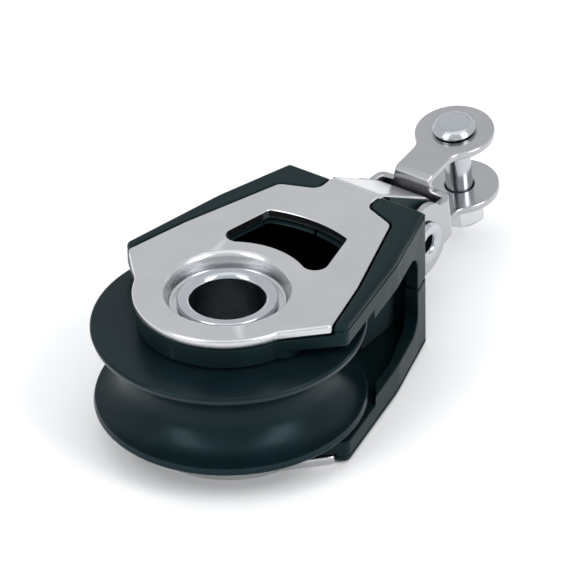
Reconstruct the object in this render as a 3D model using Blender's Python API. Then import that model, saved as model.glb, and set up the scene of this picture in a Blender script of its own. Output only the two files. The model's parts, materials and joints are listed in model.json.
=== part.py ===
"""Ball-bearing sheave block with a one-piece steel strap and a toggle head.

Metres, +Z along the sheave's axis, +Y towards the head, X across. The block lies on its lower plate,
with the origin under the middle of its bounding box. Lengths below are in millimetres from the sheave's
centre unless said otherwise, and MM turns them into metres.
"""
import math

import bmesh
import bpy
from mathutils import Matrix, Vector

MM = 0.001

# Sheave and bearing
SHEAVE_R = 20.0
SHEAVE_HALF = 6.7
GROOVE_R = 5.6
GROOVE_FLOOR_R = 14.5
SHEAVE_BORE_R = 12.1
RIB_HALF = 0.6
RIB_R = 11.3
BALL_R = 1.95
BALL_PITCH_R = 10.05
BALL_ROW_Z = 2.9
BALLS_PER_ROW = 14
RACE_R = 8.0
RACE_BORE_R = 6.6
RACE_HALF = 6.7
RETAINER_R = (9.2, 11.75)
RETAINER_Z = (5.2, 6.2)
WASHER_R = (6.65, 11.2)
WASHER_Z = (7.0, 7.7)

# Centre hub, a tube with a flared eyelet at each end
HUB_BORE_R = 5.36
HUB_R = 6.3
HUB_RIM_R = 7.3
HUB_RIM_Z = (9.7, 10.67)

# Strap: two side plates and the loop round the head rivet, bent from one sheet
STRAP_TOP = 12.1
STRAP_THICK = 1.5
NOSE_R = 13.6
NOTCH_DEG = -22.5
SHOULDER = (17.9, 0.3)
FLANK = (15.35, 10.5)
HEAD_CORNER = (10.0, 26.6)
NECK_HALF = 4.4
NECK_FOOT_Y = 28.7
NECK_BEND_Y = 31.2
NECK_BEND_R = 4.0
DISH = ((9.9, 12.1), (9.35, 11.85), (8.95, 11.2), (8.6, 10.0), (8.1, 9.5), (6.65, 9.5))
WINDOW_INNER_R = 12.0
WINDOW_OUTER_R = 21.1
WINDOW_LOBE = (9.55, 8.3)
WINDOW_CORNER_X = 6.95
WINDOW_LOBE_R = 1.9
WINDOW_CORNER_R = 0.8
WINDOW_LEDGE = 1.0

# Cheeks
RIM_TOP = 12.0
POCKET_FLOOR = 10.3
FLOOR_BOTTOM = 8.3
SKIRT_BOTTOM = 6.8
LIP_BOTTOM = 7.2
WALL = 1.6
CHEEK_NOSE_R = 13.2
CHEEK_SHOULDER = (19.5, 1.9)
CHEEK_FLANK = ((17.7, 10.8), (15.95, 19.4))
CHEEK_CORNER = (11.8, 33.2)
CHEEK_END_TOP_Y = 31.7
CHEEK_END_Z = 10.6
END_WALL_Y = 30.2
PARTING = 0.15
GAP = 0.3
GUARD_Y = 29.0
GUARD_R = 3.0
FLANGE_ROOM = (13.9, 20.9)
LIP_ROOM_R = 14.5
HUB_HOLE_R = 10.8

# Head spacer, whose nose is a thimble inside the strap's loop
SPACER_HALF = 8.1
SPACER_FRONT_R = 22.9
SPACER_BACK_Y = 29.9
SPACER_Z = 8.0
TONGUE_HALF = 4.2
TONGUE_Z = 7.8
THIMBLE_Y = 33.5
THIMBLE_FLANGE = (4.6, 5.15)
THIMBLE_SINK = 0.2

# Toggle, a cross-shaped sheet: two ears on the head rivet, two ears on the clevis pin
HEAD_PIN_Y = 40.4
TILT_DEG = 7.7
TOGGLE_THICK = 1.2
TOGGLE_BEND_R = 0.9
BASE_Y = 7.35
REACH = 18.8
LOBE_R = 6.1
JAW_EAR_Z = 5.27
JAW_NECK_HALF = 3.2
STRAP_EAR_X = 6.05
STRAP_EAR_NECK = 3.5
LOOP_R = 6.4

# Head rivet and clevis pin
RIVET_R = 2.35
RIVET_BORE_R = 1.3
RIVET_RIM_R = 3.4
PIN_R = 2.1
PIN_HEAD_R = 3.45
PIN_ROOM = 0.15
THREAD_R = 1.75
NUT_R = 3.9
NUT_FLATS_HALF = 3.4
NUT_HIGH = 5.0

# Where the bounding box ends beyond the clevis pin, for the origin
TILT = math.radians(TILT_DEG)
JAW_TOP = JAW_EAR_Z + TOGGLE_THICK / 2
HEAD_END_Y = HEAD_PIN_Y + (REACH + LOBE_R) * math.cos(TILT) + JAW_TOP * math.sin(TILT)
ORIGIN_Y = (HEAD_END_Y - SHEAVE_R) / 2

STEEL = ("stainless_steel", (0.62, 0.62, 0.63), 0.25, 1.0)
HUB_STEEL = ("polished_steel", (0.66, 0.67, 0.68), 0.15, 1.0)
SHELL = ("black_shell", (0.012, 0.016, 0.018), 0.4, 0.0)
SHEAVE_FINISH = ("sheave_black", (0.014, 0.020, 0.023), 0.35, 0.0)
ACETAL = ("white_acetal", (0.75, 0.75, 0.72), 0.4, 0.0)


def clear_scene():
    for thing in list(bpy.data.objects):
        bpy.data.objects.remove(thing, do_unlink=True)


def material(finish):
    name, colour, roughness, metallic = finish
    found = bpy.data.materials.get(name)
    if found:
        return found
    made = bpy.data.materials.new(name)
    made.use_nodes = True
    made.diffuse_color = (*colour, 1)
    shader = made.node_tree.nodes["Principled BSDF"]
    shader.inputs["Base Color"].default_value = (*colour, 1)
    shader.inputs["Roughness"].default_value = roughness
    shader.inputs["Metallic"].default_value = metallic
    return made


def empty(name, parent, location, tilt=0.0):
    made = bpy.data.objects.new(name, None)
    bpy.context.scene.collection.objects.link(made)
    made.parent = parent
    made.location = location
    made.rotation_euler = (tilt, 0, 0)
    made.empty_display_size = 5 * MM
    return made


def link(name, mesh, parent, finish, smooth_deg=40):
    made = bpy.data.objects.new(name, mesh)
    bpy.context.scene.collection.objects.link(made)
    made.parent = parent
    if finish:
        mesh.materials.clear()
        mesh.materials.append(material(finish))
        mesh.shade_smooth()
        mesh.set_sharp_from_angle(angle=math.radians(smooth_deg))
    return made


def helper(mesh):
    made = link(mesh.name, mesh, None, None)
    made.hide_render = True
    made.display_type = "WIRE"
    return made


def mesh_of(bm, name):
    bmesh.ops.recalc_face_normals(bm, faces=bm.faces)
    mesh = bpy.data.meshes.new(name)
    bm.to_mesh(mesh)
    bm.free()
    return mesh


def arc(centre, radius, start_deg, end_deg, steps):
    """Points on an arc, both ends included, anticlockwise where end_deg is the larger."""
    angles = (math.radians(start_deg + (end_deg - start_deg) * i / steps) for i in range(steps + 1))
    return [(centre[0] + radius * math.cos(a), centre[1] + radius * math.sin(a)) for a in angles]


def circle(radius, steps, centre=(0, 0)):
    return arc(centre, radius, 0, 360, steps)[:-1]


def fillet(before, corner, after, radius, steps=5):
    """The corner of an outline replaced by a tangent arc."""
    p, a, b = Vector(corner), Vector(before), Vector(after)
    to_a, to_b = (a - p).normalized(), (b - p).normalized()
    half = to_a.angle(to_b) / 2
    reach = radius / math.tan(half)
    centre = p + (to_a + to_b).normalized() * radius / math.sin(half)
    first, last = p + to_a * reach - centre, p + to_b * reach - centre
    turn = first.angle_signed(last)
    return [tuple(centre + Matrix.Rotation(-turn * i / steps, 2) @ first) for i in range(steps + 1)]


def mirrored(half):
    """A full outline from its +X half, listed from the front of the centre line to its back."""
    return half + [(-x, y) for x, y in reversed(half) if x > 1e-6]


def filled(bm, loops):
    """Faces that fill the first loop of points around the others."""
    edges = []
    for loop in loops:
        verts = [bm.verts.new(co) for co in loop]
        edges += [bm.edges.new((verts[i - 1], verts[i])) for i in range(len(verts))]
    return bmesh.ops.triangle_fill(bm, edges=edges, use_beauty=True)["geom"]


def prism(name, loops, low, high, along="Z"):
    """A solid with this outline and these holes, between two heights in mm along Z or X."""
    place = (lambda a, b, c: (a, b, c)) if along == "Z" else (lambda a, b, c: (c, a, b))
    bm = bmesh.new()
    filled(bm, [[Vector(place(a, b, low)) * MM for a, b in loop] for loop in loops])
    grown = bmesh.ops.extrude_face_region(bm, geom=list(bm.faces))["geom"]
    verts = [item for item in grown if isinstance(item, bmesh.types.BMVert)]
    bmesh.ops.translate(bm, verts=verts, vec=Vector(place(0, 0, high - low)) * MM)
    return mesh_of(bm, name)


def turned(name, profile, steps, axis="Z"):
    """A solid of revolution from a closed profile of (radius, height) points in mm."""
    turn = Matrix.Rotation(math.radians(90), 4, "Y") if axis == "X" else Matrix()
    bm = bmesh.new()
    rings = []
    for radius, height in profile:
        if radius < 1e-6:
            rings.append([bm.verts.new(turn @ Vector((0, 0, height * MM)))] * steps)
            continue
        spots = circle(radius, steps)
        rings.append([bm.verts.new(turn @ (Vector((x, y, height)) * MM)) for x, y in spots])
    for ring, after in zip(rings, rings[1:] + rings[:1]):
        for i in range(steps):
            corners = [ring[i - 1], ring[i], after[i], after[i - 1]]
            distinct = list(dict.fromkeys(corners))
            if len(distinct) > 2:
                bm.faces.new(distinct)
    return mesh_of(bm, name)


def combine(mesh, steps):
    """The mesh after Boolean steps of (operation, other mesh)."""
    base = helper(mesh)
    others = []
    for operation, other in steps:
        others.append(helper(other))
        change = base.modifiers.new(operation.title(), "BOOLEAN")
        change.operation = operation
        change.solver = "EXACT"
        change.object = others[-1]
    graph = bpy.context.evaluated_depsgraph_get()
    result = bpy.data.meshes.new_from_object(base.evaluated_get(graph))
    for thing in [base] + others:
        bpy.data.objects.remove(thing, do_unlink=True)
    return result


def mirrored_in_z(mesh, name):
    bm = bmesh.new()
    bm.from_mesh(mesh)
    bmesh.ops.scale(bm, verts=bm.verts, vec=(1, 1, -1))
    return mesh_of(bm, name)


def nose_arc(radius):
    return arc((0, 0), radius, -90, NOTCH_DEG, 12)


def plate_half(grow=0.0):
    """The +X half of the side plate's outline, from its nose to the foot of its neck."""
    shoulder, flank, corner = SHOULDER, FLANK, HEAD_CORNER
    neck = (NECK_HALF, NECK_FOOT_Y)
    nose = nose_arc(NOSE_R)
    points = nose + fillet(nose[-1], shoulder, flank, 0.9, 4) + [flank]
    points += fillet(flank, corner, neck, 1.6)
    points += fillet(corner, neck, (NECK_HALF, NECK_BEND_Y), 1.7)
    if not grow:
        return points
    grown = []
    for i, point in enumerate(points):
        before = Vector(points[max(i - 1, 0)])
        after = Vector(points[min(i + 1, len(points) - 1)])
        along = (after - before).normalized()
        grown.append((point[0] + grow * along.y, point[1] - grow * along.x))
    return grown


def window(inset=0.0):
    """The slot between the hub and the head: an arc round the hub, two lobes, two sides and an outer arc."""
    inner = arc((0, 0), WINDOW_INNER_R, 60.5, 119.5, 10)
    outer_r = WINDOW_OUTER_R - inset
    lobe = (WINDOW_LOBE[0] - inset / 2, WINDOW_LOBE[1])
    corner_x = WINDOW_CORNER_X - inset / 2
    corner = (corner_x, math.sqrt(outer_r**2 - corner_x**2))
    swing = math.degrees(math.asin(corner_x / outer_r))
    outer = arc((0, 0), outer_r, 90 - swing, 90 + swing, 12)[2:-2]
    right = fillet(inner[0], lobe, corner, WINDOW_LOBE_R, 7)
    right += fillet(lobe, corner, outer[0], WINDOW_CORNER_R, 3)
    left = [(-x, y) for x, y in reversed(right)]
    return right + outer + left + inner[-2:0:-1]


def leg_angle():
    """How far the strap turns down from the plate so that its leg is tangent to the loop, in radians."""
    run = HEAD_PIN_Y - NECK_BEND_Y
    drop = STRAP_TOP - NECK_BEND_R
    return math.acos((LOOP_R - NECK_BEND_R) / math.hypot(run, drop)) - math.atan2(run, drop)


def strap_path():
    """(y, z) along the strap's outer surface from the upper plate round the loop to the lower one."""
    turn = math.degrees(leg_angle())
    bend = arc((NECK_BEND_Y, STRAP_TOP - NECK_BEND_R), NECK_BEND_R, 90, 90 - turn, 5)
    loop = arc((HEAD_PIN_Y, 0), LOOP_R, 90 - turn, turn - 90, 14)
    return bend + loop + [(y, -z) for y, z in reversed(bend)]


def strap_mesh():
    """The strap's outer surface as one open sheet. A Solidify modifier gives it its thickness."""
    bm = bmesh.new()
    outline = mirrored(plate_half()[:-1] + [(NECK_HALF, NECK_BEND_Y)])
    hub_steps = 40
    for side in (1, -1):
        loops = [outline, window(), circle(DISH[0][0], hub_steps)]
        filled(bm, [[Vector((x, y, side * STRAP_TOP)) * MM for x, y in loop] for loop in loops])
        rings = []
        for radius, z in DISH:
            spots = circle(radius, hub_steps)
            rings.append([bm.verts.new(Vector((x, y, side * z)) * MM) for x, y in spots])
        bridge(bm, rings, closed=True)
    path = strap_path()
    band = [[bm.verts.new(Vector((x, y, z)) * MM) for x in (-NECK_HALF, NECK_HALF)] for y, z in path]
    bridge(bm, band, closed=False)
    bmesh.ops.remove_doubles(bm, verts=bm.verts, dist=1e-6)
    return sheet_mesh(bm, "strap", outward=Vector((0, 0, 1)))


def bridge(bm, rows, closed):
    """Quads between rows of vertices, which wrap round where closed."""
    for row, after in zip(rows, rows[1:]):
        for i in range(0 if closed else 1, len(row)):
            bm.faces.new((row[i - 1], row[i], after[i], after[i - 1]))


def sheet_mesh(bm, name, outward):
    """A consistently wound sheet whose highest face points outward."""
    bmesh.ops.recalc_face_normals(bm, faces=bm.faces)
    top = max(bm.faces, key=lambda face: (face.calc_center_median().dot(outward), face.calc_area()))
    if top.normal.dot(outward) < 0:
        bmesh.ops.reverse_faces(bm, faces=bm.faces)
    mesh = bpy.data.meshes.new(name)
    bm.to_mesh(mesh)
    bm.free()
    return mesh


def thicken(thing, thickness, offset):
    change = thing.modifiers.new("Thickness", "SOLIDIFY")
    change.thickness = thickness * MM
    change.offset = offset
    change.use_even_offset = True


def cheek_half():
    """The +X half of the cheek's outline, from its nose to the end of its head wall."""
    nose = nose_arc(CHEEK_NOSE_R)
    points = nose + fillet(nose[-1], CHEEK_SHOULDER, CHEEK_FLANK[0], 1.0, 4) + list(CHEEK_FLANK)
    points += fillet(CHEEK_FLANK[-1], CHEEK_CORNER, (0, CHEEK_CORNER[1]), 1.2, 4)
    return points


def inset_half():
    """The +X half of the hollow under the cheek, one wall thickness inside its outline."""
    nose = nose_arc(CHEEK_NOSE_R - WALL)
    sides = [(x - WALL, y) for x, y in CHEEK_FLANK]
    corner = (CHEEK_CORNER[0] - WALL, END_WALL_Y)
    shoulder = (CHEEK_SHOULDER[0] - WALL, CHEEK_SHOULDER[1] + WALL)
    return nose + [shoulder] + sides + fillet(sides[-1], corner, (0, END_WALL_Y), 1.5, 4)


def leg_line(distance, y):
    """Height above the mid-plane, at y, of a line parallel to the strap's leg and this far from the pin."""
    turn = leg_angle()
    return (distance - (y - HEAD_PIN_Y) * math.sin(turn)) / math.cos(turn)


def cheek_mesh():
    """The upper cheek: a floor under the plate, a rim round it, side skirts, a nose lip and a head wall."""
    high, far = RIM_TOP + 2, 60
    body = prism("cheek", [mirrored(cheek_half())], PARTING, RIM_TOP)
    pocket_half = plate_half(GAP) + [(NECK_HALF + GAP, far)]
    # The front of the pocket runs past the cheek, because the plate overhangs it there.
    pocket = [(x, y - 0.6) if y < -4 else (x, y) for x, y in mirrored(pocket_half)]
    guard_corner, guard_end = (GUARD_Y, SKIRT_BOTTOM), (-far, SKIRT_BOTTOM)
    guard = [(-far, -1), (GUARD_Y, -1)] + fillet((GUARD_Y, -1), guard_corner, guard_end, GUARD_R) + [guard_end]
    under_leg = leg_line(LOOP_R - STRAP_THICK - GAP, HEAD_PIN_Y)
    over_leg = [(NECK_BEND_Y, POCKET_FLOOR), (HEAD_PIN_Y, under_leg), (HEAD_PIN_Y, high), (NECK_BEND_Y, high)]
    chamfer = [(CHEEK_END_TOP_Y, high), (CHEEK_END_TOP_Y, RIM_TOP), (CHEEK_CORNER[1] + 0.01, CHEEK_END_Z)]
    chamfer += [(far, CHEEK_END_Z), (far, high)]
    slot = NECK_HALF + GAP
    nose_slot = [(GUARD_Y, -1), (far, -1), (far, FLOOR_BOTTOM), (GUARD_Y, FLOOR_BOTTOM)]
    cuts = [
        prism("hollow", [mirrored(inset_half())], -1, FLOOR_BOTTOM),
        prism("guard", [guard], -far, far, "X"),
        prism("flange_room", [circle(FLANGE_ROOM[1], 48), circle(FLANGE_ROOM[0], 48)], -1, FLOOR_BOTTOM),
        prism("lip_room", [circle(LIP_ROOM_R, 48)], -1, LIP_BOTTOM),
        prism("pocket", [pocket], POCKET_FLOOR, high),
        prism("hub_hole", [circle(HUB_HOLE_R, 40)], -1, high),
        prism("window", [window(WINDOW_LEDGE)], -1, high),
        prism("over_leg", [over_leg], -slot, slot, "X"),
        prism("chamfer", [chamfer], -far, far, "X"),
        prism("nose_slot", [nose_slot], -slot, slot, "X"),
    ]
    return combine(body, [("DIFFERENCE", cut) for cut in cuts])


def thimble_profile(start_y, distance, top=100.0):
    """(y, z) round the head pin at this distance and back along the strap's legs to start_y, below top."""
    turn = math.degrees(leg_angle())
    round_pin = arc((HEAD_PIN_Y, 0), distance, 90 - turn, turn - 90, 24)
    start = [(start_y, min(top, leg_line(distance, start_y)))]
    if leg_line(distance, start_y) > top:
        start.append((HEAD_PIN_Y + (distance / math.cos(leg_angle()) - top) / math.tan(leg_angle()), top))
    return start + round_pin + [(y, -z) for y, z in reversed(start)]


def spacer_mesh():
    """The block between the cheeks, with a tongue to a flanged thimble that fills the strap's loop."""
    spread = math.degrees(math.asin(SPACER_HALF / SPACER_FRONT_R))
    front = arc((0, 0), SPACER_FRONT_R, 90 - spread, 90 + spread, 10)
    back = [(-SPACER_HALF, SPACER_BACK_Y), (SPACER_HALF, SPACER_BACK_Y)]
    core = prism("head_spacer", [front + back], -SPACER_Z, SPACER_Z)
    inside = LOOP_R - STRAP_THICK - GAP
    inner, outer = THIMBLE_FLANGE
    thimble = thimble_profile(THIMBLE_Y, LOOP_R - THIMBLE_SINK)
    far = 60
    around = [(THIMBLE_Y - 2, -far), (far, -far), (far, far), (THIMBLE_Y - 2, far)]
    strap_room = [around, thimble_profile(THIMBLE_Y - 1, inside, TONGUE_Z)]
    # The tongue is a little thinner than the thimble's core, so that no two of their faces coincide.
    tongue = thimble_profile(SPACER_BACK_Y - 2, inside - 0.1, TONGUE_Z - 0.1)
    bar = combine(
        prism("thimble", [thimble], -outer, outer, "X"),
        [("DIFFERENCE", prism("strap_room", strap_room, -inner, inner, "X"))],
    )
    hole = circle(RIVET_R + PIN_ROOM, 32, (HEAD_PIN_Y, 0))
    return combine(
        core,
        [
            ("UNION", prism("tongue", [tongue], -TONGUE_HALF, TONGUE_HALF, "X")),
            ("UNION", bar),
            ("DIFFERENCE", prism("rivet_hole", [hole], -9, 9, "X")),
        ],
    )


def lobe_outline(neck_half, neck_y, centre_y, blend=3.0):
    """A round ear blended into a straight neck, starting and ending on the neck's end."""
    swing = math.degrees(math.acos((neck_half + blend) / (LOBE_R + blend)))
    foot = centre_y - (LOBE_R + blend) * math.sin(math.radians(swing))
    right = arc((neck_half + blend, foot), blend, 180, 180 - swing, 5)
    lobe = arc((0, centre_y), LOBE_R, -swing, 180 + swing, 30)
    left = [(-x, y) for x, y in reversed(right)]
    return [(neck_half, neck_y)] + right + lobe[1:-1] + left + [(-neck_half, neck_y)]


def toggle_mesh():
    """The toggle's middle surface, about the head rivet, with the jaw pointing along +Y."""
    bm = bmesh.new()
    flat_z, flat_x = JAW_EAR_Z - TOGGLE_BEND_R, STRAP_EAR_X - TOGGLE_BEND_R
    quarter = [(JAW_NECK_HALF, flat_z), (flat_x, STRAP_EAR_NECK)]
    right = quarter + [(x, -z) for x, z in reversed(quarter)]
    base = right + [(-x, z) for x, z in reversed(right)]
    filled(bm, [[Vector((x, BASE_Y, z)) * MM for x, z in base]])
    for side in (1, -1):
        bend = arc((BASE_Y + TOGGLE_BEND_R, flat_z), TOGGLE_BEND_R, 180, 90, 5)
        rows = [[(-JAW_NECK_HALF, y, side * z), (JAW_NECK_HALF, y, side * z)] for y, z in bend]
        bridge(bm, [[bm.verts.new(Vector(co) * MM) for co in row] for row in rows], closed=False)
        ear = lobe_outline(JAW_NECK_HALF, BASE_Y + TOGGLE_BEND_R, REACH)
        loops = [ear, circle(PIN_R + PIN_ROOM, 20, (0, REACH))]
        filled(bm, [[Vector((x, y, side * JAW_EAR_Z)) * MM for x, y in loop] for loop in loops])
        bend = arc((flat_x, BASE_Y - TOGGLE_BEND_R), TOGGLE_BEND_R, 90, 0, 5)
        rows = [[(side * x, y, -STRAP_EAR_NECK), (side * x, y, STRAP_EAR_NECK)] for x, y in bend]
        bridge(bm, [[bm.verts.new(Vector(co) * MM) for co in row] for row in rows], closed=False)
        start = math.degrees(math.asin(STRAP_EAR_NECK / LOBE_R))
        ear = [(BASE_Y - TOGGLE_BEND_R, STRAP_EAR_NECK)] + arc((0, 0), LOBE_R, start, 360 - start, 30)[1:-1]
        ear += [(BASE_Y - TOGGLE_BEND_R, -STRAP_EAR_NECK)]
        loops = [ear, circle(RIVET_R + PIN_ROOM, 20)]
        filled(bm, [[Vector((side * STRAP_EAR_X, y, z)) * MM for y, z in loop] for loop in loops])
    bmesh.ops.remove_doubles(bm, verts=bm.verts, dist=1e-6)
    return sheet_mesh(bm, "toggle", outward=Vector((0, 0, 1)))


def sheave_mesh():
    """The rope wheel: a round groove between two flanges, and a bore with a rib between the ball rows."""
    half, bore = SHEAVE_HALF, SHEAVE_BORE_R
    centre_r = GROOVE_FLOOR_R + GROOVE_R
    lip = math.degrees(math.asin((centre_r - SHEAVE_R + 0.35) / GROOVE_R))
    groove = [(r, z) for z, r in arc((0, centre_r), GROOVE_R, -lip, -180 + lip, 14)]
    rim = [(bore, half), (SHEAVE_R - 0.5, half), (SHEAVE_R, half - 0.4)]
    profile = rim + groove + [(r, -z) for r, z in reversed(rim)]
    profile += [(bore, -RIB_HALF - 0.3), (RIB_R, -RIB_HALF), (RIB_R, RIB_HALF), (bore, RIB_HALF + 0.3)]
    return turned("sheave", profile, 56)


def ring(name, radii, heights, steps=40):
    (inner, outer), (low, high) = radii, heights
    return turned(name, [(inner, high), (outer, high), (outer, low), (inner, low)], steps)


def hub_mesh():
    """A tube whose ends are flared over the strap's dished hub seats."""
    low, top = HUB_RIM_Z
    upper = [(HUB_BORE_R, low - 0.4), (HUB_BORE_R + 0.25, top - 0.4), (HUB_BORE_R + 0.9, top)]
    upper += [(HUB_RIM_R - 0.3, top), (HUB_RIM_R, top - 0.3), (HUB_RIM_R, low), (HUB_R, low)]
    return turned("centre_hub", upper + [(r, -z) for r, z in reversed(upper)], 40)


def rivet_mesh():
    """The tubular head rivet, turned about X, with its two rims rolled over the toggle's ears."""
    seat = STRAP_EAR_X + TOGGLE_THICK / 2 + 0.2
    right = [(RIVET_BORE_R, seat - 0.3), (RIVET_BORE_R + 0.5, seat + 0.6), (RIVET_BORE_R + 1.1, seat + 0.8)]
    right += [(RIVET_RIM_R - 0.3, seat + 0.5), (RIVET_RIM_R, seat), (RIVET_R, seat)]
    return turned("head_rivet", right + [(r, -z) for r, z in reversed(right)], 28, axis="X")


def pin_mesh():
    """The clevis pin: a domed head, a plain shank through the jaw and a threaded end."""
    seat = JAW_TOP + 0.2
    head = [(0, seat + 1.35), (1.8, seat + 1.25), (2.8, seat + 0.9), (PIN_HEAD_R, seat + 0.35)]
    head += [(PIN_HEAD_R, seat), (PIN_R, seat)]
    shank = [(PIN_R, -JAW_TOP + 0.1), (THREAD_R, -JAW_TOP - 0.1), (THREAD_R, -JAW_TOP - 2.2)]
    return turned("clevis_pin", head + shank + [(0, -JAW_TOP - 2.4)], 28)


def nut_mesh():
    """A closed nut: six flats trimmed by turned chamfers, with a blind hole for the pin's end."""
    top = -JAW_TOP - 0.2
    bottom = top - NUT_HIGH
    profile = [(NUT_R - 0.3, top), (NUT_R, top - 0.3), (NUT_R, bottom + 0.9), (NUT_R - 0.9, bottom + 0.2)]
    profile += [(1.8, bottom), (0, bottom), (0, top - 2.6), (2.0, top - 2.3), (2.0, top)]
    dome = turned("cap_nut", profile, 36)
    flats = circle(NUT_FLATS_HALF / math.cos(math.radians(30)), 6)
    return combine(dome, [("INTERSECT", prism("flats", [flats], bottom - 1, top + 1))])


def build_body(frame):
    strap = link("strap", strap_mesh(), frame, STEEL)
    thicken(strap, STRAP_THICK, -1)
    upper = cheek_mesh()
    link("lower_cheek", mirrored_in_z(upper, "lower_cheek"), frame, SHELL)
    link("upper_cheek", upper, frame, SHELL)
    link("head_spacer", spacer_mesh(), frame, SHELL)
    link("centre_hub", hub_mesh(), frame, HUB_STEEL)
    link("inner_race", ring("inner_race", (RACE_BORE_R, RACE_R), (-RACE_HALF, RACE_HALF)), frame, HUB_STEEL)
    low, high = WASHER_Z
    link("upper_side_washer", ring("upper_side_washer", WASHER_R, (low, high)), frame, ACETAL)
    link("lower_side_washer", ring("lower_side_washer", WASHER_R, (-high, -low)), frame, ACETAL)


def build_sheave(axle):
    link("sheave", sheave_mesh(), axle, SHEAVE_FINISH)
    low, high = RETAINER_Z
    link("upper_ball_retainer", ring("upper_ball_retainer", RETAINER_R, (low, high)), axle, ACETAL)
    link("lower_ball_retainer", ring("lower_ball_retainer", RETAINER_R, (-high, -low)), axle, ACETAL)


def build_balls(axle):
    bm = bmesh.new()
    bmesh.ops.create_icosphere(bm, subdivisions=2, radius=BALL_R * MM)
    ball = mesh_of(bm, "ball")
    for row, height in (("upper", BALL_ROW_Z), ("lower", -BALL_ROW_Z)):
        for i, (x, y) in enumerate(circle(BALL_PITCH_R, BALLS_PER_ROW)):
            made = link(f"{row}_ball_{i + 1:02d}", ball, axle, ACETAL, smooth_deg=80)
            made.location = Vector((x, y, height)) * MM


def build_toggle(hinge):
    toggle = link("toggle", toggle_mesh(), hinge, STEEL)
    thicken(toggle, TOGGLE_THICK, 0)
    link("head_rivet", rivet_mesh(), hinge, HUB_STEEL)
    pin_axis = empty("clevis_pin_axis", hinge, Vector((0, REACH, 0)) * MM)
    link("clevis_pin", pin_mesh(), pin_axis, HUB_STEEL)
    link("cap_nut", nut_mesh(), pin_axis, HUB_STEEL)


def main():
    clear_scene()
    frame = empty("block_frame", None, Vector((0, -ORIGIN_Y, STRAP_TOP)) * MM)
    build_body(frame)
    build_sheave(empty("sheave_axis", frame, (0, 0, 0)))
    build_balls(empty("ball_orbit_axis", frame, (0, 0, 0)))
    build_toggle(empty("head_rivet_axis", frame, Vector((0, HEAD_PIN_Y, 0)) * MM, TILT))


main()
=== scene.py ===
"""Looks of the sheave block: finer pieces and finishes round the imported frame.

Everything is in metres in the frame's own axes. Pieces are built in millimetres, the block's from the sheave's
centre and the head's from the head rivet's centre, and MM turns them into metres.
"""
import json
import math

import bmesh
import bpy
from mathutils import Matrix, Vector


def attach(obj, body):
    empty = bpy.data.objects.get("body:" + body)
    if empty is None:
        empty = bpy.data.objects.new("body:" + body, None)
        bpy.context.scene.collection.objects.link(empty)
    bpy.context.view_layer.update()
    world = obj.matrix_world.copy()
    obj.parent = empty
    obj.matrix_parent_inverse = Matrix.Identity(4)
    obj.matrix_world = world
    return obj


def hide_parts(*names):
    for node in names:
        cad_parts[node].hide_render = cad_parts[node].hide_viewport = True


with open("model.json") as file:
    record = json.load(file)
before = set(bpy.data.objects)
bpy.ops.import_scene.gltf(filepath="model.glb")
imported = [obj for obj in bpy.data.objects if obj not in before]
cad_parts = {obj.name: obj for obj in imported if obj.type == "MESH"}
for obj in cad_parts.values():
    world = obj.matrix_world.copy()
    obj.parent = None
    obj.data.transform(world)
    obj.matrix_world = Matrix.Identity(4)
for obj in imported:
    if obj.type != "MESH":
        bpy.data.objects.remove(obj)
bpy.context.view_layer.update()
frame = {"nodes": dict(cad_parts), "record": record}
MM = 0.001

JOINTS = {joint["name"]: joint for joint in frame["record"]["behaviour"]["joints"]}
SHEAVE_AT = Vector(JOINTS["sheave_spin"]["pos_m"])
HEAD_AT = Vector(JOINTS["toggle_swing"]["pos_m"])
PIN_AT = Vector(JOINTS["clevis_pin_turn"]["pos_m"])
PIN_AXIS = Vector(JOINTS["clevis_pin_turn"]["axis"])
TILT = math.atan2(-PIN_AXIS.y, PIN_AXIS.z)

# Camera, as it looks at a point near the middle of the block
AZIMUTH, ELEVATION, ROLL = 36.41, 33.89, -1.54
DISTANCE, LENS = 628.4, 270.2
AIM = (-4.47, 19.69, 0.0)

# Strap
STRAP_TOP, STRAP_THICK, STRAP_EDGE, WINDOW_EDGE, MARGIN = 12.1, 1.5, 0.4, 0.2, 0.3
NOSE_R, NOTCH_DEG = 13.6, -22.5
SHOULDER, FLANK, HEAD_CORNER = (17.9, 0.3), (15.35, 10.5), (10.0, 26.6)
NECK_HALF, NECK_FOOT_Y, NECK_BEND_Y, NECK_BEND_R = 4.4, 28.7, 31.2, 4.0
LOOP_R = 6.4
HEAD_PIN_Y = (HEAD_AT - SHEAVE_AT).y / MM
DISH_TOP, DISH_WALL, DISH_HOLE_R = (9.9, 12.1), ((9.21, 12.1), (8.454, 9.5)), 6.65
DISH_UNDER = ((9.58, 8.0), (10.34, 10.6))
WINDOW_INNER_R, WINDOW_OUTER_R, WINDOW_LOBE, WINDOW_CORNER_X = 12.0, 21.1, (9.55, 8.3), 6.95
WINDOW_LEDGE = 1.0

# Cheeks
RIM_TOP, RIM_EDGE, POCKET_FLOOR, FLOOR_BOTTOM = 12.0, 0.85, 10.3, 8.3
SKIRT_BOTTOM, LIP_BOTTOM, WALL = 6.8, 7.2, 1.6
CHEEK_NOSE_R, CHEEK_SHOULDER, CHEEK_FLANK = 13.2, (19.5, 1.9), ((17.7, 10.8), (15.95, 19.4))
CHEEK_CORNER, CHEEK_END_TOP_Y, CHEEK_END_Z, END_WALL_Y = (11.8, 33.2), 31.7, 10.6, 30.2
PARTING, GAP, CHEEK_EDGE = 0.15, 0.3, 0.22
GROOVE_Z, GROOVE_HALF, GROOVE_DEEP = 10.83, 0.25, 0.2
GUARD_Y, GUARD_R = 29.0, 3.0
FLANGE_ROOM, LIP_ROOM_R, HUB_HOLE_R = (13.9, 20.9), 14.5, 10.8

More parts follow.
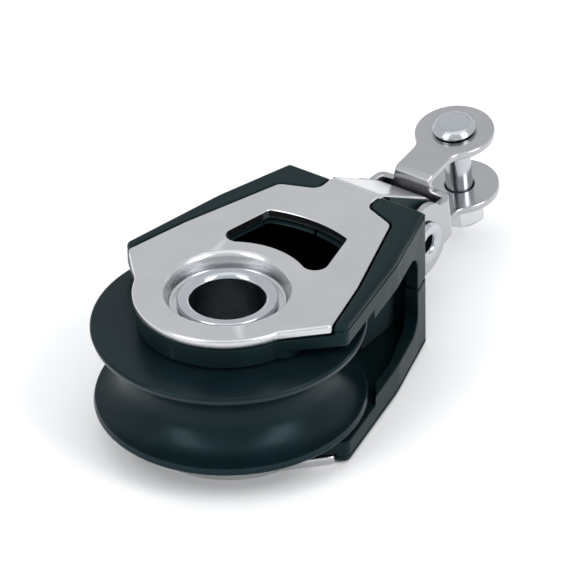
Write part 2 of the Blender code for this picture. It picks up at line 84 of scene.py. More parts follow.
# Head spacer
SPACER_HALF, SPACER_FRONT_R, SPACER_BACK_Y, SPACER_Z = 8.1, 22.9, 29.9, 8.0
TONGUE_HALF, TONGUE_Z, THIMBLE_Y, THIMBLE_FLANGE, THIMBLE_SINK = 4.2, 7.8, 33.5, (4.6, 5.15), 0.2

# Toggle, rivet, pin and nut
TOGGLE_THICK, TOGGLE_BEND_R, BASE_Y, LOBE_R = 1.2, 0.9, 7.35, 6.1
REACH = (PIN_AT - HEAD_AT).length / MM
JAW_EAR_Z, JAW_NECK_HALF, STRAP_EAR_X, STRAP_EAR_NECK = 5.27, 3.2, 6.05, 3.5
JAW_TOP = JAW_EAR_Z + TOGGLE_THICK / 2
RIVET_R, RIVET_BORE_R, RIVET_RIM_R = 2.35, 1.3, 3.4
PIN_R, PIN_HEAD_R, THREAD_R, NUT_R = 2.1, 3.45, 1.75, 3.9
NUT_FLATS_HALF, NUT_HIGH = 3.4, 5.0

# Sheave, hub and bearing
SHEAVE_R, SHEAVE_HALF, GROOVE_R, GROOVE_FLOOR_R, SHEAVE_BORE_R = 20.0, 6.7, 5.6, 14.5, 12.1
HUB_BORE_R, HUB_R, HUB_RIM_R, HUB_RIM_Z = 5.36, 6.3, 7.3, (9.7, 10.67)


# Outlines, in millimetres


def arc(centre, radius, start_deg, end_deg, steps):
    """Points on an arc, both ends included, anticlockwise where end_deg is the larger."""
    angles = (math.radians(start_deg + (end_deg - start_deg) * i / steps) for i in range(steps + 1))
    return [(centre[0] + radius * math.cos(a), centre[1] + radius * math.sin(a)) for a in angles]


def circle(radius, steps, centre=(0, 0)):
    return arc(centre, radius, 0, 360, steps)[:-1]


def fillet(before, corner, after, radius, steps=8):
    """The corner of an outline replaced by a tangent arc."""
    p, a, b = Vector(corner), Vector(before), Vector(after)
    to_a, to_b = (a - p).normalized(), (b - p).normalized()
    half = to_a.angle(to_b) / 2
    reach = radius / math.tan(half)
    centre = p + (to_a + to_b).normalized() * radius / math.sin(half)
    first, last = p + to_a * reach - centre, p + to_b * reach - centre
    turn = first.angle_signed(last)
    return [tuple(centre + Matrix.Rotation(-turn * i / steps, 2) @ first) for i in range(steps + 1)]


def rounded(corners, steps=6):
    """A closed outline whose corners, given as (a, b, radius), are replaced by arcs."""
    points = []
    for i, (a, b, radius) in enumerate(corners):
        before, after = corners[i - 1][:2], corners[(i + 1) % len(corners)][:2]
        points += fillet(before, (a, b), after, radius, steps) if radius else [(a, b)]
    return points


def mirrored(half):
    """A full outline from its +X half, listed from the front of the centre line to its back."""
    return half + [(-x, y) for x, y in reversed(half) if x > 1e-6]


def offset(points, by, closed=True):
    """An outline moved outward by a distance, where it runs anticlockwise."""
    moved = []
    last = len(points) - 1
    for i, point in enumerate(points):
        p = Vector(point)
        before = Vector(points[i - 1]) if closed or i else None
        after = Vector(points[(i + 1) % len(points)]) if closed or i < last else None
        ways = [(p - before).normalized()] if before else []
        ways += [(after - p).normalized()] if after else []
        normals = [Vector((way.y, -way.x)) for way in ways]
        joint = sum(normals, Vector((0, 0))) / (1 + normals[0].dot(normals[-1])) if len(ways) == 2 else normals[0]
        moved.append(tuple(p + joint * by))
    return moved


def plate_half():
    """The +X half of the side plate's outline, from its nose to the start of the bend in its neck."""
    neck = (NECK_HALF, NECK_FOOT_Y)
    nose = arc((0, 0), NOSE_R, -90, NOTCH_DEG, 28)
    points = nose + fillet(nose[-1], SHOULDER, FLANK, 0.9) + fillet(SHOULDER, FLANK, HEAD_CORNER, 4.0)
    points += fillet(FLANK, HEAD_CORNER, neck, 1.6)
    return points + fillet(HEAD_CORNER, neck, (NECK_HALF, NECK_BEND_Y), 1.7) + [(NECK_HALF, NECK_BEND_Y - MARGIN)]


def window(inset=0.0):
    """The slot between the hub and the head: an arc round the hub, two lobes, two sides and an outer arc."""
    inner = arc((0, 0), WINDOW_INNER_R, 60.5, 119.5, 20)
    outer_r = WINDOW_OUTER_R - inset
    lobe = (WINDOW_LOBE[0] - inset / 2, WINDOW_LOBE[1])
    corner_x = WINDOW_CORNER_X - inset / 2
    corner = (corner_x, math.sqrt(outer_r**2 - corner_x**2))
    swing = math.degrees(math.asin(corner_x / outer_r))
    outer = arc((0, 0), outer_r, 90 - swing, 90 + swing, 24)[3:-3]
    right = fillet(inner[0], lobe, corner, 1.9, 14) + fillet(lobe, corner, outer[0], 0.8, 6)
    left = [(-x, y) for x, y in reversed(right)]
    return right + outer + left + inner[-2:0:-1]


def leg_angle():
    """How far the strap turns down from the plate so that its leg is tangent to the loop, in radians."""
    run = HEAD_PIN_Y - NECK_BEND_Y
    drop = STRAP_TOP - NECK_BEND_R
    return math.acos((LOOP_R - NECK_BEND_R) / math.hypot(run, drop)) - math.atan2(run, drop)


def strap_path(depth):
    """(y, z) along the strap's neck, leg and loop, at a depth below its outer surface."""
    turn = math.degrees(leg_angle())
    bend = arc((NECK_BEND_Y, STRAP_TOP - NECK_BEND_R), NECK_BEND_R - depth, 90, 90 - turn, 10)
    loop = arc((HEAD_PIN_Y, 0), LOOP_R - depth, 90 - turn, turn - 90, 40)
    bend = [(NECK_BEND_Y - MARGIN, STRAP_TOP - depth)] + bend
    return bend + loop + [(y, -z) for y, z in reversed(bend)]


def leg_line(distance, y):
    """Height above the mid-plane, at y, of a line parallel to the strap's leg and this far from the pin."""
    turn = leg_angle()
    return (distance - (y - HEAD_PIN_Y) * math.sin(turn)) / math.cos(turn)


def thimble_profile(start_y, distance, top=100.0):
    """(y, z) round the head pin at this distance, and back along the strap's legs to start_y, capped at top."""
    turn = math.degrees(leg_angle())
    round_pin = arc((HEAD_PIN_Y, 0), distance, 90 - turn, turn - 90, 40)
    start = [(start_y, min(top, leg_line(distance, start_y)))]
    if leg_line(distance, start_y) > top:
        start.append((HEAD_PIN_Y + (distance / math.cos(leg_angle()) - top) / math.tan(leg_angle()), top))
    return start + round_pin + [(y, -z) for y, z in reversed(start)]


def cheek_half():
    """The +X half of the cheek's outline, from its nose to the end of its head wall."""
    nose = arc((0, 0), CHEEK_NOSE_R, -90, NOTCH_DEG, 28)
    points = nose + fillet(nose[-1], CHEEK_SHOULDER, CHEEK_FLANK[0], 1.0)
    points += fillet(CHEEK_FLANK[0], CHEEK_FLANK[1], CHEEK_CORNER, 30.0)
    return points + fillet(CHEEK_FLANK[1], CHEEK_CORNER, (0, CHEEK_CORNER[1]), 1.2)


def inset_half():
    """The +X half of the hollow under the cheek, one wall thickness inside its outline."""
    nose = arc((0, 0), CHEEK_NOSE_R - WALL, -90, NOTCH_DEG, 28)
    sides = [(x - WALL, y) for x, y in CHEEK_FLANK]
    corner = (CHEEK_CORNER[0] - WALL, END_WALL_Y)
    shoulder = (CHEEK_SHOULDER[0] - WALL, CHEEK_SHOULDER[1] + WALL)
    return nose + [shoulder] + sides + fillet(sides[-1], corner, (0, END_WALL_Y), 1.5)


def lobe_outline(neck_half, neck_y, centre_y, blend=3.0):
    """A round ear blended into a straight neck, starting and ending on the neck's end."""
    swing = math.degrees(math.acos((neck_half + blend) / (LOBE_R + blend)))
    foot = centre_y - (LOBE_R + blend) * math.sin(math.radians(swing))
    right = arc((neck_half + blend, foot), blend, 180, 180 - swing, 12)
    lobe = arc((0, centre_y), LOBE_R, -swing, 180 + swing, 72)
    left = [(-x, y) for x, y in reversed(right)]
    return [(neck_half, neck_y)] + right + lobe[1:-1] + left + [(-neck_half, neck_y)]


# Meshes


def mesh_of(bm):
    bmesh.ops.recalc_face_normals(bm, faces=bm.faces)
    mesh = bpy.data.meshes.new("piece")
    bm.to_mesh(mesh)
    bm.free()
    return mesh


def filled(bm, loops):
    """Faces that fill the first loop of points around the others."""
    edges = []
    for loop in loops:
        verts = [bm.verts.new(Vector(co) * MM) for co in loop]
        edges += [bm.edges.new((verts[i - 1], verts[i])) for i in range(len(verts))]
    bmesh.ops.triangle_fill(bm, edges=edges, use_beauty=True)


def bridge(bm, rows, closed):
    """Quads between rows of vertices, which wrap round where closed."""
    for row, after in zip(rows, rows[1:]):
        for i in range(0 if closed else 1, len(row)):
            bm.faces.new((row[i - 1], row[i], after[i], after[i - 1]))


def rows_of(bm, rows):
    return [[bm.verts.new(Vector(co) * MM) for co in row] for row in rows]


def prism(loops, low, high, along="Z"):
    """A solid with this outline and these holes, between two heights along Z or X."""
    place = (lambda a, b, c: (a, b, c)) if along == "Z" else (lambda a, b, c: (c, a, b))
    bm = bmesh.new()
    filled(bm, [[place(a, b, low) for a, b in loop] for loop in loops])
    grown = bmesh.ops.extrude_face_region(bm, geom=list(bm.faces))["geom"]
    verts = [item for item in grown if isinstance(item, bmesh.types.BMVert)]
    bmesh.ops.translate(bm, verts=verts, vec=Vector(place(0, 0, high - low)) * MM)
    return mesh_of(bm)


def crowned(outline, low, high, edge, steps=6):
    """A solid with this outline whose top edge is rounded, with a fine groove round its side."""
    levels = [(0, low)]
    for i in range(-steps, steps + 1):
        depth = GROOVE_DEEP * (1 + math.cos(math.pi * i / steps)) / 2
        levels.append((depth, GROOVE_Z + GROOVE_HALF * i / steps))
    for i in range(steps + 1):
        swing = math.radians(90 * i / steps)
        levels.append((edge * (1 - math.cos(swing)), high - edge * (1 - math.sin(swing))))
    bm = bmesh.new()
    rows = rows_of(bm, [[(x, y, z) for x, y in offset(outline, -inset)] for inset, z in levels])
    bridge(bm, rows, closed=True)
    bm.faces.new(rows[0])
    bm.faces.new(rows[-1])
    return mesh_of(bm)


def turned(profile, steps=96, axis="Z"):
    """A solid of revolution from a closed profile of (radius, height) points."""
    turn = Matrix.Rotation(math.radians(90), 4, "Y") if axis == "X" else Matrix()
    bm = bmesh.new()
    rings = []
    for radius, height in profile:
        if radius < 1e-6:
            rings.append([bm.verts.new(turn @ Vector((0, 0, height * MM)))] * steps)
            continue
        rings.append([bm.verts.new(turn @ (Vector((x, y, height)) * MM)) for x, y in circle(radius, steps)])
    for ring, after in zip(rings, rings[1:] + rings[:1]):
        for i in range(steps):
            distinct = list(dict.fromkeys((ring[i - 1], ring[i], after[i], after[i - 1])))
            if len(distinct) > 2:
                bm.faces.new(distinct)
    return mesh_of(bm)


def thing_of(mesh):
    made = bpy.data.objects.new(mesh.name, mesh)
    bpy.context.scene.collection.objects.link(made)
    return made


def changed(mesh, changes):
    """The mesh after modifiers, each given as (type, settings)."""
    base = thing_of(mesh)
    others = []
    for kind, settings in changes:
        change = base.modifiers.new(kind.title(), kind)
        for key, value in settings.items():
            if isinstance(value, bpy.types.Mesh):
                others.append(thing_of(value))
                value = others[-1]
            setattr(change, key, value)
    graph = bpy.context.evaluated_depsgraph_get()
    result = bpy.data.meshes.new_from_object(base.evaluated_get(graph))
    for thing in [base] + others:
        bpy.data.objects.remove(thing, do_unlink=True)
    return result


def combine(mesh, steps):
    """The mesh after Boolean steps of (operation, other mesh)."""
    return changed(mesh, [("BOOLEAN", {"operation": how, "solver": "EXACT", "object": other}) for how, other in steps])


def merged_flats(mesh):
    """The mesh with its coplanar faces merged, so that a bevel follows only its real edges."""
    bm = bmesh.new()
    bm.from_mesh(mesh)
    bmesh.ops.remove_doubles(bm, verts=bm.verts, dist=2e-7)
    bmesh.ops.dissolve_limit(bm, angle_limit=math.radians(0.4), verts=bm.verts, edges=bm.edges)
    return mesh_of(bm)


def softened(mesh, width, angle=38, segments=3):
    """The mesh with its sharp edges rounded."""
    settings = {"width": width * MM, "segments": segments, "limit_method": "ANGLE",
                "angle_limit": math.radians(angle), "use_clamp_overlap": False, "loop_slide": False,
                "miter_outer": "MITER_SHARP"}
    return changed(merged_flats(mesh), [("BEVEL", settings)])


def flipped(mesh):
    bm = bmesh.new()
    bm.from_mesh(mesh)
    bmesh.ops.scale(bm, verts=bm.verts, vec=(1, 1, -1))
    return mesh_of(bm)


# Pieces


def edge_levels(edge, thickness, steps=5):
    """(inset, depth) round the edge of a sheet, from its outer face to its inner one."""
    half = []
    for i in range(steps + 1):
        swing = math.radians(90 * i / steps)
        half.append((edge * (1 - math.sin(swing)), edge * (1 - math.cos(swing))))
    half = [(edge + MARGIN, 0)] + half
    return half + [(inset, thickness - depth) for inset, depth in reversed(half)]


def dish_profile():
    """(radius, height) from the plate's top down the dish, round its hole and back under it."""
    corner, floor = DISH_WALL
    profile = [(DISH_TOP[0] + MARGIN, DISH_TOP[1]), DISH_TOP] + fillet((12, DISH_TOP[1]), corner, floor, 0.9, 12)
    profile += fillet(corner, floor, (DISH_HOLE_R, floor[1]), 0.5, 8)
    under, outer = DISH_UNDER
    hole = [(DISH_HOLE_R, floor[1], 0.2), (DISH_HOLE_R, under[1], 0.2)]
    profile += rounded([(under[0], floor[1], 0)] + hole + [(under[0], under[1], 0)], 4)[1:-1]
    return profile + fillet((DISH_HOLE_R, under[1]), under, outer, 1.2, 8) + [outer, (outer[0] + MARGIN, outer[1])]


def strap_mesh():
    """The strap as one solid: two plates with dishes and windows, and the band between them."""
    bm = bmesh.new()
    half = plate_half()
    rim = [(-x, y) for x, y in half[:0:-1]] + half
    hub_steps = 96
    levels = edge_levels(STRAP_EDGE, STRAP_THICK)
    loops = []
    for inset, depth in levels:
        plate = offset(rim, -inset, closed=False)
        path = strap_path(depth)[1:-1]
        across = NECK_HALF - inset
        loop = [(x, y, STRAP_TOP - depth) for x, y in plate]
        loop += [(across, y, z) for y, z in path]
        loop += [(x, y, depth - STRAP_TOP) for x, y in reversed(plate)]
        loops.append(loop + [(-across, y, z) for y, z in reversed(path)])
    bridge(bm, rows_of(bm, loops), closed=True)
    for depth in (0, STRAP_THICK):
        path = strap_path(depth)
        across = NECK_HALF - STRAP_EDGE - MARGIN
        bridge(bm, rows_of(bm, [[(-across, y, z), (across, y, z)] for y, z in path]), closed=False)
    slot_levels = edge_levels(WINDOW_EDGE, STRAP_THICK)
    for side in (1, -1):
        for depth, hole_r in ((0, DISH_TOP[0]), (STRAP_THICK, DISH_UNDER[1][0])):
            flat = [offset(rim, -STRAP_EDGE - MARGIN, closed=False), offset(window(), WINDOW_EDGE + MARGIN)]
            flat.append(circle(hole_r + MARGIN, hub_steps))
            filled(bm, [[(x, y, side * (STRAP_TOP - depth)) for x, y in loop] for loop in flat])
        slots = [[(x, y, side * (STRAP_TOP - depth)) for x, y in offset(window(), inset)] for inset, depth in slot_levels]
        bridge(bm, rows_of(bm, slots), closed=True)
        dish = [[(x, y, side * z) for x, y in circle(r, hub_steps)] for r, z in dish_profile()]
        bridge(bm, rows_of(bm, dish), closed=True)
    bmesh.ops.remove_doubles(bm, verts=bm.verts, dist=2e-6)
    return mesh_of(bm)


def cheek_mesh():
    """The upper cheek: floor, rim round the plate, side skirts with a fine groove, nose lip and head wall."""
    high, far, slot = RIM_TOP + 2, 60, NECK_HALF + GAP
    outline = mirrored(cheek_half())
    body = crowned(outline, PARTING, RIM_TOP, RIM_EDGE)
    half = plate_half()
    rim = [(-x, y) for x, y in half[:0:-1]] + half
    pocket = offset(rim, GAP, closed=False)
    pocket = [(-slot, far)] + [(x, y - 0.6) if y < -4 else (x, y) for x, y in pocket] + [(slot, far)]
    guard = [(-30, -1), (GUARD_Y, -1)] + fillet((GUARD_Y, -1), (GUARD_Y, SKIRT_BOTTOM), (-30, SKIRT_BOTTOM), GUARD_R, 14)
    guard += [(-30, SKIRT_BOTTOM)]
    over_leg = [(NECK_BEND_Y, POCKET_FLOOR), (40, leg_line(LOOP_R - STRAP_THICK - GAP, 40)), (40, high)]
    over_leg += [(NECK_BEND_Y, high)]
    chamfer = [(CHEEK_END_TOP_Y, high), (CHEEK_END_TOP_Y, RIM_TOP), (CHEEK_CORNER[1] + 0.01, CHEEK_END_Z)]
    chamfer += [(40, CHEEK_END_Z), (40, high)]
    nose_slot = [(GUARD_Y, -1), (40, -1), (40, FLOOR_BOTTOM), (GUARD_Y, FLOOR_BOTTOM)]
    cuts = [
        prism([mirrored(inset_half())], -1, FLOOR_BOTTOM),
        prism([guard], -30, 30, "X"),
        prism([circle(FLANGE_ROOM[1], 96), circle(FLANGE_ROOM[0], 96)], -1, FLOOR_BOTTOM),
        prism([circle(LIP_ROOM_R, 96)], -1, LIP_BOTTOM),
        prism([pocket], POCKET_FLOOR, high),
        prism([circle(HUB_HOLE_R, 96)], -1, high),
        prism([window(WINDOW_LEDGE)], -1, high),
        prism([over_leg], -slot, slot, "X"),
        prism([chamfer], -20, 20, "X"),
        prism([nose_slot], -slot, slot, "X"),
    ]
    return softened(combine(body, [("DIFFERENCE", cut) for cut in cuts]), CHEEK_EDGE)


def spacer_mesh():
    """The block between the cheeks, with a tongue to a flanged thimble that fills the strap's loop."""
    spread = math.degrees(math.asin(SPACER_HALF / SPACER_FRONT_R))
    front = arc((0, 0), SPACER_FRONT_R, 90 - spread, 90 + spread, 20)
    back = [(-SPACER_HALF, SPACER_BACK_Y), (SPACER_HALF, SPACER_BACK_Y)]
    core = prism([front + back], -SPACER_Z, SPACER_Z)
    inside = LOOP_R - STRAP_THICK - GAP
    inner, outer = THIMBLE_FLANGE
    around = [(THIMBLE_Y - 2, -20), (60, -20), (60, 20), (THIMBLE_Y - 2, 20)]
    strap_room = [around, thimble_profile(THIMBLE_Y - 1, inside, TONGUE_Z)]
    tongue = thimble_profile(SPACER_BACK_Y - 2, inside - 0.1, TONGUE_Z - 0.1)
    bar = combine(
        prism([thimble_profile(THIMBLE_Y, LOOP_R - THIMBLE_SINK)], -outer, outer, "X"),
        [("DIFFERENCE", prism(strap_room, -inner, inner, "X"))],
    )
    hole = circle(RIVET_R + 0.15, 64, (HEAD_PIN_Y, 0))
    whole = combine(
        core,
        [
            ("UNION", prism([tongue], -TONGUE_HALF, TONGUE_HALF, "X")),
            ("UNION", bar),
            ("DIFFERENCE", prism([hole], -9, 9, "X")),
        ],
    )
    return softened(whole, 0.12, segments=2)


def toggle_mesh():
    """The toggle about the head rivet, with the jaw pointing along +Y and every edge rounded."""
    bm = bmesh.new()
    flat_z, flat_x = JAW_EAR_Z - TOGGLE_BEND_R, STRAP_EAR_X - TOGGLE_BEND_R
    quarter = [(JAW_NECK_HALF, flat_z)] + fillet((JAW_NECK_HALF, flat_z), (JAW_NECK_HALF, STRAP_EAR_NECK + 0.2),
                                                 (flat_x, STRAP_EAR_NECK), 0.5, 5) + [(flat_x, STRAP_EAR_NECK)]
    right = quarter + [(x, -z) for x, z in reversed(quarter)]
    filled(bm, [[(x, BASE_Y, z) for x, z in right + [(-x, z) for x, z in reversed(right)]]])
    for side in (1, -1):
        bend = arc((BASE_Y + TOGGLE_BEND_R, flat_z), TOGGLE_BEND_R, 180, 90, 10)
        rows = [[(-JAW_NECK_HALF, y, side * z), (JAW_NECK_HALF, y, side * z)] for y, z in bend]
        bridge(bm, rows_of(bm, rows), closed=False)
        ear = lobe_outline(JAW_NECK_HALF, BASE_Y + TOGGLE_BEND_R, REACH)
        loops = [ear, circle(PIN_R + 0.15, 64, (0, REACH))]
        filled(bm, [[(x, y, side * JAW_EAR_Z) for x, y in loop] for loop in loops])
        bend = arc((flat_x, BASE_Y - TOGGLE_BEND_R), TOGGLE_BEND_R, 90, 0, 10)
        rows = [[(side * x, y, -STRAP_EAR_NECK), (side * x, y, STRAP_EAR_NECK)] for x, y in bend]
        bridge(bm, rows_of(bm, rows), closed=False)
        start = math.degrees(math.asin(STRAP_EAR_NECK / LOBE_R))
        foot_y = BASE_Y - TOGGLE_BEND_R
        ear = [(foot_y, STRAP_EAR_NECK)] + arc((0, 0), LOBE_R, start, 360 - start, 72)[1:-1]
        ear += [(foot_y, -STRAP_EAR_NECK)]
        filled(bm, [[(side * STRAP_EAR_X, y, z) for y, z in loop] for loop in (ear, circle(RIVET_R + 0.15, 64))])
    bmesh.ops.remove_doubles(bm, verts=bm.verts, dist=1e-6)
    sheet = mesh_of(bm)
    thicken = {"thickness": TOGGLE_THICK * MM, "offset": 0, "use_even_offset": True}
    return softened(changed(sheet, [("SOLIDIFY", thicken)]), 0.27)


def sheave_mesh():
    """The rope wheel: a round groove between two rounded flanges, and a bore with a rib between the ball rows."""
    half, bore, rib_half, rib_r = SHEAVE_HALF, SHEAVE_BORE_R, 0.6, 11.3
    centre_r = GROOVE_FLOOR_R + GROOVE_R
    lip = math.degrees(math.asin((centre_r - SHEAVE_R + 0.35) / GROOVE_R))
    groove = [(r, z) for z, r in arc((0, centre_r), GROOVE_R, -lip, -180 + lip, 48)]
    rim = fillet((SHEAVE_R, half), (bore, half), (bore, 0), 0.3, 4)[::-1] + fillet((bore, half), (SHEAVE_R, half), groove[0], 0.38)
    profile = rim + groove + [(r, -z) for r, z in reversed(rim)]
    profile += [(bore, -rib_half - 0.3), (rib_r, -rib_half), (rib_r, rib_half), (bore, rib_half + 0.3)]
    return turned(profile, 160)


def ring(inner, outer, low, high, edge=0.15):
    return turned(rounded([(inner, high, edge), (outer, high, edge), (outer, low, edge), (inner, low, edge)]))


def hub_mesh():
    """A tube whose ends are flared over the strap's dished hub seats."""
    low, top = HUB_RIM_Z
    upper = [(HUB_BORE_R, top, 0.9), (HUB_RIM_R, top, 0.32), (HUB_RIM_R, low, 0.1), (HUB_R, low, 0.1)]
    return turned(rounded(upper + [(r, -z, edge) for r, z, edge in reversed(upper)], 10), 128)


def rivet_mesh():
    """The tubular head rivet, turned about X, with its two rims rolled over the toggle's ears."""
    seat = STRAP_EAR_X + TOGGLE_THICK / 2 + 0.2
    right = [(RIVET_BORE_R, seat + 0.8, 0.75), (RIVET_RIM_R, seat + 0.8, 0.7), (RIVET_RIM_R, seat, 0.08), (RIVET_R, seat, 0)]
    return turned(rounded(right + [(r, -z, edge) for r, z, edge in reversed(right)], 8), 64, "X")


def pin_mesh():
    """The clevis pin: a low rounded head, a plain shank through the jaw and a threaded end."""
    seat = JAW_TOP + 0.2
    dome = [(2.7 * i / 8, seat + 1.35 - 0.12 * (i / 8) ** 2) for i in range(9)]
    head = dome[:-1] + fillet(dome[-2], (2.75, seat + 1.23), (PIN_HEAD_R, seat + 0.4), 1.1, 10)
    head += fillet((2.75, seat + 1.23), (PIN_HEAD_R, seat + 0.4), (3.2, seat), 0.3, 5) + [(3.15, seat), (PIN_R, seat)]
    shank = [(PIN_R, -JAW_TOP + 0.1), (THREAD_R, -JAW_TOP - 0.1), (THREAD_R, -JAW_TOP - 2.2)]
    return turned(head + shank + [(0, -JAW_TOP - 2.4)], 96)


def nut_mesh():
    """A closed nut: six flats trimmed by turned chamfers, with a blind hole for the pin's end."""
    top = -JAW_TOP - 0.2
    bottom = top - NUT_HIGH
    profile = rounded([(2.0, top, 0), (NUT_R - 0.3, top, 0.1), (NUT_R, top - 0.3, 0.1), (NUT_R, bottom + 0.9, 0.3),
                       (NUT_R - 0.9, bottom + 0.2, 0.3), (1.8, bottom, 0), (0, bottom, 0), (0, top - 2.6, 0),
                       (2.0, top - 2.3, 0)])
    flats = circle(NUT_FLATS_HALF / math.cos(math.radians(30)), 6)
    cut = combine(turned(profile, 96), [("INTERSECT", prism([flats], bottom - 1, top + 1))])
    return softened(cut, 0.1, segments=2)


# Finishes


def blank(name):
    made = bpy.data.materials.new(name)
    made.use_nodes = True
    return made, made.node_tree, made.node_tree.nodes["Principled BSDF"]


def noise(tree, scale, stretch=(1, 1, 1), detail=3.0):
    """A noise value over the piece's own coordinates, in metres. Its grain is about 1 / scale."""
    place = tree.nodes.new("ShaderNodeTexCoord")
    mapping = tree.nodes.new("ShaderNodeMapping")
    mapping.inputs["Scale"].default_value = stretch
    made = tree.nodes.new("ShaderNodeTexNoise")
    made.inputs["Scale"].default_value = scale
    made.inputs["Detail"].default_value = detail
    tree.links.new(place.outputs["Object"], mapping.inputs["Vector"])
    tree.links.new(mapping.outputs["Vector"], made.inputs["Vector"])
    return made.outputs["Fac"]


def rings(tree, scale):
    """Fine rings round the piece's Z axis, as a lathe or a turned mould leaves them."""
    place = tree.nodes.new("ShaderNodeTexCoord")
    made = tree.nodes.new("ShaderNodeTexWave")
    made.wave_type, made.rings_direction = "RINGS", "Z"
    made.inputs["Scale"].default_value = scale
    made.inputs["Distortion"].default_value = 1.5
    made.inputs["Detail"].default_value = 3.0
    tree.links.new(place.outputs["Object"], made.inputs["Vector"])
    return made.outputs["Fac"]


def mapped(tree, value, low, high, to_low, to_high):
    made = tree.nodes.new("ShaderNodeMapRange")
    for key, number in (("From Min", low), ("From Max", high), ("To Min", to_low), ("To Max", to_high)):
        made.inputs[key].default_value = number
    tree.links.new(value, made.inputs["Value"])
    return made.outputs["Result"]


def mixed(tree, factor, first, second):
    made = tree.nodes.new("ShaderNodeMix")
    made.data_type = "RGBA"
    for name, value in (("A", first), ("B", second)):
        socket = [item for item in made.inputs if item.name == name and item.type == "RGBA"][0]
        if isinstance(value, tuple):
            socket.default_value = (*value, 1)
        else:
            tree.links.new(value, socket)
    tree.links.new(factor, made.inputs["Factor"])
    return [item for item in made.outputs if item.type == "RGBA"][0]


def edges(tree, low=0.53, high=0.62):
    """How far a point lies on a raised edge, for wear."""
    geometry = tree.nodes.new("ShaderNodeNewGeometry")
    return mapped(tree, geometry.outputs["Pointiness"], low, high, 0.0, 1.0)


def bumped(tree, shader, height, distance, strength=1.0):
    made = tree.nodes.new("ShaderNodeBump")
    made.inputs["Strength"].default_value = strength
    made.inputs["Distance"].default_value = distance
    tree.links.new(height, made.inputs["Height"])
    tree.links.new(made.outputs["Normal"], shader.inputs["Normal"])


def steel(name, dark, light, worn, roughness, grain, stretch, depth):
    """Stainless steel: a fine grain, faint cloudy patches and brighter edges."""
    made, tree, shader = blank(name)
    shader.inputs["Metallic"].default_value = 1.0
    fine = noise(tree, grain, stretch, 4.0)
    cloud = noise(tree, 130.0, (1, 1, 1), 3.0)
    body = mixed(tree, mapped(tree, cloud, 0.3, 0.7, 0.0, 1.0), dark, light)
    tree.links.new(mixed(tree, edges(tree), body, worn), shader.inputs["Base Color"])
    tree.links.new(mapped(tree, fine, 0.25, 0.75, *roughness), shader.inputs["Roughness"])
    bumped(tree, shader, fine, depth * MM, 0.5)
    return made


def plastic(name, dark, light, worn, roughness, specular, depth, ringed=False):
    """Moulded black plastic: a fine moulded texture, faint cloudy patches and scuffed edges."""
    made, tree, shader = blank(name)
    shader.inputs["Specular IOR Level"].default_value = specular
    shader.inputs["Specular Tint"].default_value = (0.60, 0.92, 1.0, 1)
    fine = noise(tree, 5200.0, (1, 1, 1), 2.0)
    cloud = noise(tree, 160.0, (1, 1, 1), 4.0)
    body = mixed(tree, mapped(tree, cloud, 0.3, 0.7, 0.0, 1.0), dark, light)
    tree.links.new(mixed(tree, edges(tree, 0.52, 0.66), body, worn), shader.inputs["Base Color"])
    tree.links.new(mapped(tree, cloud, 0.3, 0.7, *roughness), shader.inputs["Roughness"])
    bumped(tree, shader, rings(tree, 900.0) if ringed else fine, depth * MM, 0.6)
    return made


LOOKS = {
    "stainless_steel": steel("satin_steel", (0.56, 0.565, 0.58), (0.61, 0.61, 0.62), (0.76, 0.76, 0.77),
                             (0.21, 0.28), 1500.0, (6, 0.6, 6), 0.0006),
    # A copy of the stainless steel with a darker base colour: painted shade for the toggle and the cap nut.
    "shade_darkened_steel": steel("shade_darkened_satin_steel", (0.43, 0.435, 0.45), (0.47, 0.47, 0.48), (0.70, 0.70, 0.71),
                          (0.15, 0.22), 1500.0, (6, 0.6, 6), 0.0005),
    "polished_steel": steel("bright_steel", (0.47, 0.50, 0.53), (0.54, 0.56, 0.58), (0.74, 0.75, 0.76),
                            (0.12, 0.19), 2400.0, (1, 1, 1), 0.0004),
    "black_shell": plastic("black_moulding", (0.0030, 0.0085, 0.0100), (0.0045, 0.0120, 0.0140), (0.022, 0.036, 0.041),
                           (0.34, 0.44), 0.12, 0.004),
    "sheave_black": plastic("black_wheel", (0.0030, 0.0080, 0.0105), (0.0045, 0.0115, 0.0150), (0.020, 0.034, 0.040),
                            (0.26, 0.34), 0.17, 0.002, ringed=True),
    "white_acetal": plastic("acetal", (0.70, 0.70, 0.67), (0.78, 0.78, 0.75), (0.84, 0.84, 0.82), (0.35, 0.45), 0.4, 0.004),
}


def place_piece(node, mesh, body, slot, at=SHEAVE_AT, tilt=0.0, look=None, smooth=38, weight=50):
    """A piece of the given finish that rides on a body and stands for a CAD node."""
    mesh.materials.clear()
    mesh.materials.append(LOOKS[look or slot])
    mesh.shade_smooth()
    mesh.set_sharp_from_angle(angle=math.radians(smooth))
    mesh.name = node + "_detail"
    mesh.transform(Matrix.Rotation(tilt, 4, "X"))
    piece = thing_of(mesh)
    piece.name = node + "_detail"
    piece.location = at
    normals = piece.modifiers.new("Normals", "WEIGHTED_NORMAL")
    normals.keep_sharp = True
    normals.weight = weight
    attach(piece, body)
    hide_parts(node)


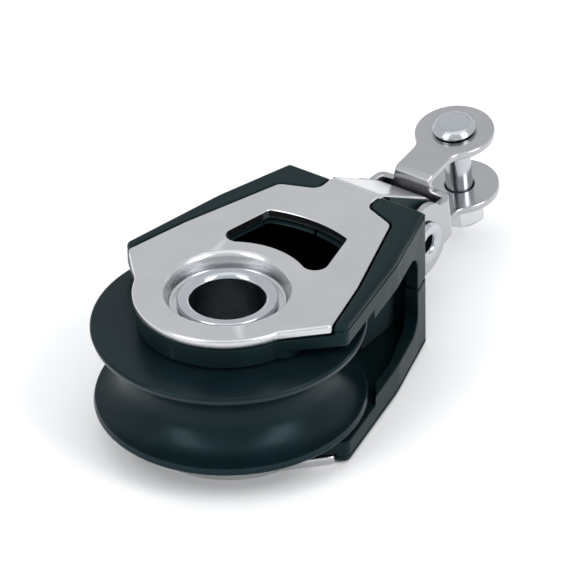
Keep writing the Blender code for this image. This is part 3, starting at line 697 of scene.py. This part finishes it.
def build_pieces():
    place_piece("strap", strap_mesh(), "block", "stainless_steel")
    upper = cheek_mesh()
    place_piece("lower_cheek", flipped(upper), "block", "black_shell")
    place_piece("upper_cheek", upper, "block", "black_shell")
    place_piece("head_spacer", spacer_mesh(), "block", "black_shell")
    place_piece("centre_hub", hub_mesh(), "block", "polished_steel")
    place_piece("inner_race", ring(6.6, 8.0, -6.7, 6.7), "block", "polished_steel")
    for side, name in ((1, "upper"), (-1, "lower")):
        washer = ring(6.65, 11.2, *sorted((7.0 * side, 7.7 * side)))
        place_piece(name + "_side_washer", washer, "block", "white_acetal")
        retainer = ring(9.2, 11.75, *sorted((5.2 * side, 6.2 * side)))
        place_piece(name + "_ball_retainer", retainer, "sheave", "white_acetal")
    place_piece("sheave", sheave_mesh(), "sheave", "sheave_black")
    # The toggle takes the steel copy whose darker base colour is painted shade.
    place_piece("toggle", toggle_mesh(), "toggle", "stainless_steel", HEAD_AT, TILT, "shade_darkened_steel", weight=100)
    place_piece("head_rivet", rivet_mesh(), "toggle", "polished_steel", HEAD_AT, TILT)
    place_piece("clevis_pin", pin_mesh(), "clevis_pin", "polished_steel", PIN_AT, TILT)
    # The cap nut also takes the steel copy whose darker base colour is painted shade.
    place_piece("cap_nut", nut_mesh(), "clevis_pin", "polished_steel", PIN_AT, TILT, "shade_darkened_steel")


# Camera, floor and light


def place_camera():
    az, el, roll = (math.radians(a) for a in (AZIMUTH, ELEVATION, ROLL))
    forward = Vector((-math.sin(az) * math.cos(el), math.cos(az) * math.cos(el), -math.sin(el)))
    data = bpy.data.cameras.new("camera")
    data.lens = LENS
    data.clip_start, data.clip_end = 0.01, 20
    camera = bpy.data.objects.new("camera", data)
    bpy.context.scene.collection.objects.link(camera)
    camera.location = SHEAVE_AT + (Vector(AIM) - forward * DISTANCE) * MM
    turn = forward.to_track_quat("-Z", "Y").to_matrix()
    camera.rotation_euler = (turn @ Matrix.Rotation(roll, 3, "Z")).to_euler()
    bpy.context.scene.camera = camera


def area_light(name, azimuth, elevation, distance, size, power, colour=(1, 1, 1)):
    """A soft rectangular light that faces the block, placed by its direction from the block in degrees."""
    az, el = math.radians(azimuth), math.radians(elevation)
    way = Vector((math.sin(az) * math.cos(el), -math.cos(az) * math.cos(el), math.sin(el)))
    data = bpy.data.lights.new(name, "AREA")
    data.shape = "RECTANGLE"
    data.size, data.size_y = size
    data.energy = power
    data.color = colour
    made = bpy.data.objects.new(name, data)
    bpy.context.scene.collection.objects.link(made)
    made.location = way * distance
    made.rotation_euler = (-way).to_track_quat("-Z", "Y").to_euler()
    made.visible_camera = False


def floor_and_light():
    reach = 3.0
    mesh = bpy.data.meshes.new("floor")
    mesh.from_pydata([(-reach, -reach, 0), (reach, -reach, 0), (reach, reach, 0), (-reach, reach, 0)], [], [(0, 1, 2, 3)])
    floor = thing_of(mesh)
    made, tree, shader = blank("pale_floor")
    shader.inputs["Base Color"].default_value = (0.92, 0.92, 0.92, 1)
    shader.inputs["Roughness"].default_value = 0.9
    shader.inputs["Specular IOR Level"].default_value = 0.1
    mesh.materials.append(made)
    world = bpy.data.worlds.new("studio")
    bpy.context.scene.world = world
    world.use_nodes = True
    background = world.node_tree.nodes["Background"]
    background.inputs["Color"].default_value = (0.96, 0.98, 1.0, 1)
    background.inputs["Strength"].default_value = 0.85
    area_light("overhead", 0, 88, 0.9, (0.85, 0.85), 1.2)
    area_light("left_box", -15, 38, 0.8, (0.3, 0.6), 2.2)
    area_light("right_box", 88, 38, 0.8, (0.3, 0.6), 3.0)
    bpy.context.scene.view_settings.view_transform = "Standard"


for thing in frame["nodes"].values():
    for slot in thing.material_slots:
        slot.material = LOOKS[slot.material.name.split(".")[0]]
build_pieces()
place_camera()
floor_and_light()
